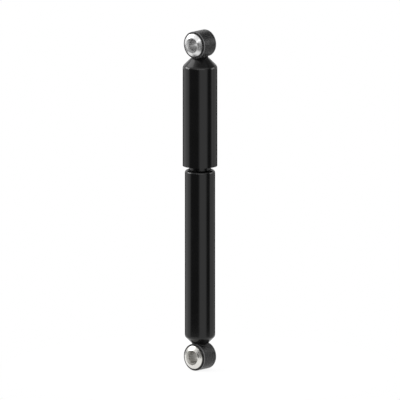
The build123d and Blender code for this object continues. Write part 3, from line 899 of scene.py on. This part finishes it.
def makeFloor(spec):
    height = lowerRingLow.z - spec["gap"]
    count = spec["corners"]
    corners = []
    for index in range(count):
        angle = 2 * math.pi * index / count
        corners.append((spec["radius"] * math.cos(angle), spec["radius"] * math.sin(angle), height))
    mesh = bpy.data.meshes.new("floor")
    mesh.from_pydata(corners, [], [list(range(count))])
    obj = bpy.data.objects.new("floor", mesh)
    bpy.context.scene.collection.objects.link(obj)

    material = bpy.data.materials.new("paleFloor")
    material.use_nodes = True
    tree = material.node_tree
    tree.nodes.clear()
    output = addNode(tree, "ShaderNodeOutputMaterial")
    plain = setInputs(addNode(tree, "ShaderNodeBsdfDiffuse"), Color=(spec["white"],) * 3 + (1,))
    shaded = setInputs(addNode(tree, "ShaderNodeBsdfDiffuse"), Color=(spec["shade"],) * 3 + (1,))
    glow = setInputs(addNode(tree, "ShaderNodeEmission"), Strength=1 - spec["shade"])
    seen = addNode(tree, "ShaderNodeAddShader")
    join(tree, shaded.outputs[0], seen.inputs[0])
    join(tree, glow.outputs[0], seen.inputs[1])
    path = addNode(tree, "ShaderNodeLightPath")
    looked = mathNode(tree, "MAXIMUM", path.outputs["Is Camera Ray"], path.outputs["Is Glossy Ray"])
    looked = mathNode(tree, "MAXIMUM", looked, path.outputs["Is Transmission Ray"])
    mix = addNode(tree, "ShaderNodeMixShader")
    join(tree, looked, mix.inputs[0])
    join(tree, plain.outputs[0], mix.inputs[1])
    join(tree, seen.outputs[0], mix.inputs[2])
    join(tree, mix.outputs[0], output.inputs["Surface"])
    mesh.materials.append(material)


def makeCardCloth():
    material = bpy.data.materials.new("cardCloth")
    material.use_nodes = True
    tree = material.node_tree
    tree.nodes.clear()
    output = addNode(tree, "ShaderNodeOutputMaterial")
    density = addNode(tree, "ShaderNodeAttribute", attribute_name="cover")
    cloth = setInputs(addNode(tree, "ShaderNodeBsdfDiffuse"), Color=(0.0, 0.0, 0.0, 1))
    clear = addNode(tree, "ShaderNodeBsdfTransparent")
    mix = addNode(tree, "ShaderNodeMixShader")
    join(tree, density.outputs["Fac"], mix.inputs[0])
    join(tree, clear.outputs[0], mix.inputs[1])
    join(tree, cloth.outputs[0], mix.inputs[2])
    join(tree, mix.outputs[0], output.inputs["Surface"])
    return material


def hangCard(name, corners, densities, faces, material):
    mesh = bpy.data.meshes.new(name)
    mesh.from_pydata(corners, [], faces)
    attribute = mesh.attributes.new("cover", "FLOAT", "POINT")
    attribute.data.foreach_set("value", densities)
    mesh.materials.append(material)
    obj = bpy.data.objects.new(name, mesh)
    bpy.context.scene.collection.objects.link(obj)
    obj.visible_camera = False
    obj.visible_diffuse = False
    obj.visible_shadow = False
    obj.visible_transmission = False


def makeCard(name, spec, material):
    # Upright arc with soft side edges
    corners, densities, faces = [], [], []
    for index in range(cardSteps + 1):
        azimuth = spec["from"] + (spec["to"] - spec["from"]) * index / cardSteps
        edge = min(azimuth - spec["from"], spec["to"] - azimuth) / spec["feather"]
        density = spec["density"] * min(1.0, edge)
        foot = cardDistance * directionAt(azimuth, 0)
        for height in (spec["low"], spec["high"]):
            corners.append((foot.x, foot.y, objectMiddle.z + height))
            densities.append(density)
        if index:
            faces.append((2 * index - 2, 2 * index, 2 * index + 1, 2 * index - 1))
    hangCard(name, corners, densities, faces, material)


def makeTopCard(spec, material):
    # Disc overhead, thinning out to its edge
    steps = spec["steps"]
    height = objectMiddle.z + spec["height"]
    inner = spec["radius"] - spec["feather"]
    middle = spec["shift"] * directionAt(90, 0)
    corners, densities, faces = [(middle.x, middle.y, height)], [spec["density"]], []
    for radius, density in ((inner, spec["density"]), (spec["radius"], 0.0)):
        for index in range(steps):
            angle = 2 * math.pi * index / steps
            corners.append((middle.x + radius * math.cos(angle), middle.y + radius * math.sin(angle), height))
            densities.append(density)
    for index in range(steps):
        here, there = 1 + index, 1 + (index + 1) % steps
        faces.append((0, here, there))
        faces.append((here, here + steps, there + steps, there))
    hangCard("topCard", corners, densities, faces, material)


def makeLamp(name, spec):
    light = bpy.data.lights.new(name, "AREA")
    light.shape = "RECTANGLE"
    light.size, light.size_y = spec["size"]
    light.energy = spec["radiance"] * math.pi * spec["size"][0] * spec["size"][1]
    obj = bpy.data.objects.new(name, light)
    bpy.context.scene.collection.objects.link(obj)
    obj.location = objectMiddle + spec["distance"] * directionAt(spec["azimuth"], spec["elevation"])
    turnTowards(obj, objectMiddle)
    obj.visible_camera = False


makeWorld()
makeFloor(floor)
cardCloth = makeCardCloth()
for cardName, cardSpec in cards.items():
    makeCard(cardName, cardSpec, cardCloth)
makeTopCard(topCard, cardCloth)
for lampName, lampSpec in lamps.items():
    makeLamp(lampName, lampSpec)
print("studio ready:", len(cards), "cards,", len(lamps), "soft boxes")
